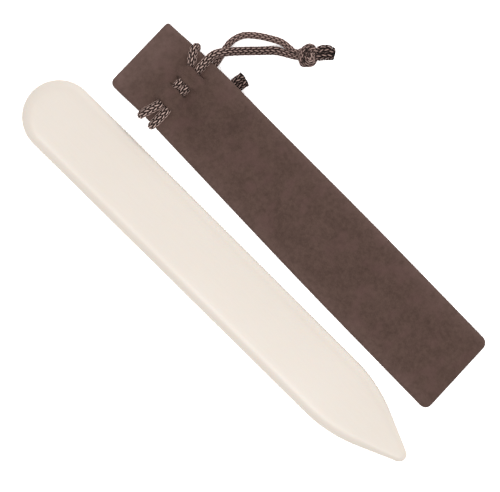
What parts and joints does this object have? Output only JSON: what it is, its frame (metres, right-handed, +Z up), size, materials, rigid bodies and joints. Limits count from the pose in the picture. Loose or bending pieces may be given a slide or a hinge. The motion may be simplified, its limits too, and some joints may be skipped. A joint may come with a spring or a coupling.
{
  "type": "bone folder with drawstring pouch",
  "caption": "Flat polished bone folder with a round end and a blunt point, for creasing and scoring paper, lying beside the velvet drawstring pouch that it is kept in.",
  "frame": {"origin": "on the table under the middle of the folder's underside", "axes": "+X along the folder from its round end to its point, +Y across to the pouch, +Z up from the table"},
  "size_m": [0.2, 0.1073, 0.0106],
  "materials": {
    "bone": "polished cream bone, satin",
    "velvet": "short-pile dark brown velvet",
    "thread": "dark brown sewing thread",
    "braid": "dark brown round braid"
  },
  "bodies": {
    "folder": {"bone_folder": "bone"},
    "pouch": {"pouch_front_panel": "velvet", "pouch_back_panel": "velvet", "seam_thread": "thread", "right_drawstring_front_end": "braid", "right_drawstring_front_strand": "braid", "right_drawstring_threaded": "braid", "right_drawstring_back_strand": "braid", "right_drawstring_back_end": "braid", "left_drawstring_front_end": "braid", "left_drawstring_front_strand": "braid", "left_drawstring_threaded": "braid", "left_drawstring_back_strand": "braid", "left_drawstring_back_end": "braid"}
  },
  "joints": [
    {"name": "pouch_lift", "type": "slide", "parent": "folder", "child": "pouch", "axis": [0, 0, 1], "range_m": [0, 0.06]}
  ]
}
